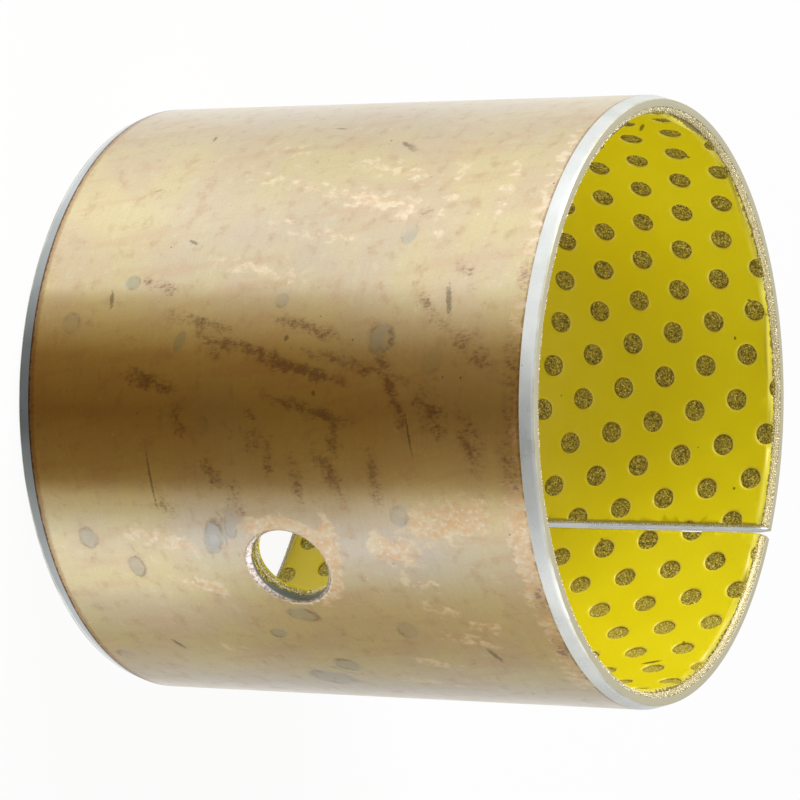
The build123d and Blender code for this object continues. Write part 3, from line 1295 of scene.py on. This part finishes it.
def floor():
    size = 3.0
    corners = [(-size, -size, 0), (size, -size, 0), (size, size, 0), (-size, size, 0)]
    ground = new_piece("floor", corners, [[0, 1, 2, 3]])
    material, build, shader = finish("white floor")
    build.fill(shader, Base_Color=(0.85, 0.85, 0.85), Roughness=1.0, Specular_IOR_Level=0.0)
    mirrored, rays = build.mirrored_ray()
    seen = build.math("MAXIMUM", rays["Is Camera Ray"], mirrored)
    glow = build.add("ShaderNodeEmission", None, Color=(1, 1, 1), Strength=1.0)
    mix = build.add("ShaderNodeMixShader")
    for i, part in enumerate((seen * FLOOR_GLOW, shader.outputs[0], glow)):
        build.set(mix, i, part)
    build.set(build.nodes["Material Output"], "Surface", mix)
    dress(ground, material)


def card(name, vertices, faces, glow):
    """A piece of stage that only mirrors see, with its brightness kept at each corner."""
    sheet = new_piece(name, vertices, faces)
    colours = sheet.data.attributes.new("glow", "FLOAT_COLOR", "POINT")
    colours.data.foreach_set("color", [part for colour in glow for part in (*colour, 1.0)])
    material = bpy.data.materials.new(name)
    material.use_nodes = True
    build = Tree(material.node_tree)
    build.nodes.clear()
    shine = build.add("ShaderNodeEmission", None, Color=build.kept("glow", "Color"), Strength=1.0)
    build.set(build.add("ShaderNodeOutputMaterial"), "Surface", shine)
    material.cycles.emission_sampling = "NONE"
    dress(sheet, material)
    for ray in ("camera", "diffuse", "transmission", "volume_scatter", "shadow"):
        setattr(sheet, "visible_" + ray, False)


def between(stops, direction):
    """What a list of stops gives for a direction that lies between two of them."""
    columns = np.array(stops).T
    values = [float(np.interp(direction, columns[0], column)) for column in columns[1:]]
    return values[0] if len(values) == 1 else values


def glow_colour(direction, height):
    """What the wall mirrors in one direction, at one height: softbox, room or warm dark card."""
    if height < 1.2 * MM:
        grey = between(FAR_CHAMFER, direction)
        return 0.94 * grey, 0.98 * grey, grey
    bright, far, near, warm = between(REFLECTIONS, direction)
    # the light that falls low on the right is whiter
    right = np.interp(direction, [-72, -62, -46, -36], [0, 1, 1, 0])
    warm -= 0.9 * right * np.interp(height, [10 * MM, 35 * MM], [1, 0])
    bright *= np.interp(height, [14 * MM, 30 * MM, 42 * MM, 58 * MM], [far, 1, 1, near])
    return bright, bright ** (1 + 0.2 * warm), bright ** (1 + 0.7 * warm)


def cards_in_front():
    """Softboxes and a dark card laid out low before the bush, where its wall mirrors them."""
    # the camera looks down so steeply that the wall mirrors the floor this far off per height
    outward = 1.87
    heights = [h * MM for h in (-0.28, 0.05, 0.9, 1.6, 14, 22, 30, 42, 50, 58, 70, 260)]
    vertices = []
    glow = []
    directions = np.arange(-176, -3.5, 0.5)
    for direction in directions:
        angle = math.radians(direction)
        out = Vector((math.cos(angle), math.sin(angle), 0))
        foot = out * OUTSIDE
        to_camera = CAMERA_PLACE - foot
        to_camera.z = 0
        to_camera.normalize()
        mirrored = (2 * out.dot(to_camera) * out - to_camera).normalized()
        for height in heights:
            place = foot + mirrored * height * outward
            vertices.append((place.x, place.y, CARD_LIE))
            glow.append(glow_colour(direction, height))
    card("reflected cards", vertices, net(len(directions), len(heights)), glow)


def cards_behind():
    """Soft dark bands on the floor behind the bush, fading into the floor's own white."""
    # distance from the wall, and how much of the band is left there
    rings = [(0.2 * MM, 1.0), (30 * MM, 1.0), (150 * MM, 1.0), (320 * MM, 0.0)]
    vertices = []
    glow = []
    directions = range(10, 171, 2)
    for direction in directions:
        bright = between(BACK_REFLECTIONS, direction)
        for away, strength in rings:
            vertices.append(on_circle(OUTSIDE + away, math.radians(direction), CARD_LIE / 2))
            grey = FLOOR_GLOW + (bright - FLOOR_GLOW) * strength
            glow.append((grey, grey**1.15, grey**1.6))
    card("reflected cards behind", vertices, net(len(directions), len(rings)), glow)


def sky():
    """A pale room, darker low down on the camera's side."""
    world = bpy.data.worlds.new("studio")
    bpy.context.scene.world = world
    world.use_nodes = True
    build = Tree(world.node_tree)
    toward = build.parts(build.out("ShaderNodeTexCoord", None, "Generated"))
    toward_front = toward[0] * 0.31 - toward[1] * 0.95
    toward_right = toward[0] * 0.9 + toward[1] * 0.45
    low = toward[2].step(0.55, 0.15)
    front = toward_front.step(0.70, 0.98) * low
    right = toward_right.step(0.4, 0.85) * low * 0.56
    room = front.spread(0.95, 0.21) * (1.0 - right)
    mirrored, rays = build.mirrored_ray()
    level = mirrored * room + (1.0 - mirrored) * 0.44
    seen = build.math("MAXIMUM", rays["Is Camera Ray"], level)
    build.fill(build.nodes["Background"], Color=(1, 1, 1), Strength=seen)


def lamp(name, place, aim, size, power):
    light = bpy.data.lights.new(name, "AREA")
    light.shape = "RECTANGLE"
    light.size, light.size_y = size
    light.energy = power
    holder = bpy.data.objects.new(name, light)
    bpy.context.scene.collection.objects.link(holder)
    holder.location = place
    holder.rotation_mode = "QUATERNION"
    holder.rotation_quaternion = (Vector(aim) - Vector(place)).to_track_quat("-Z", "Y")
    holder.visible_camera = False
    return holder


def lamps():
    middle = (0, 0, LENGTH / 2)
    lamp("key_softbox", (-0.50, -0.03, 0.42), middle, (0.35, 0.35), 3.3)
    lamp("fill_softbox", (0.48, -0.06, 0.32), middle, (0.3, 0.3), 1.0)
    # light that would come in at the far end if the bush lay on its side
    glow = lamp("glow_from_the_far_end", (0, 0, 0.5 * MM), middle, (0.064, 0.064), 0.004)
    glow.data.shape = "DISK"


bpy.context.scene.view_settings.view_transform = "Standard"
look()
floor()
cards_in_front()
cards_behind()
sky()
lamps()

BRONZE = ("sintered_bronze_layer", "sintered_bronze")
pieces = [
    (acetal_lining(), "acetal_lining", "yellow_acetal"),
    (pocket_floors(), *BRONZE),
    (bronze_layer(), *BRONZE),
    (bronze_grains("bronze_grains_near_end", end_patch(True), 21), *BRONZE),
    (bronze_grains("bronze_grains_far_end", end_patch(False), 22), *BRONZE),
    (bronze_grains("bronze_grains_in_split_and_hole", split_and_hole_patches(), 23), *BRONZE),
    (steel_back(), "steel_backing", "bronze_flashed_steel"),
]
for piece, node, slot in pieces:
    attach(piece, "root")
    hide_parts(node)
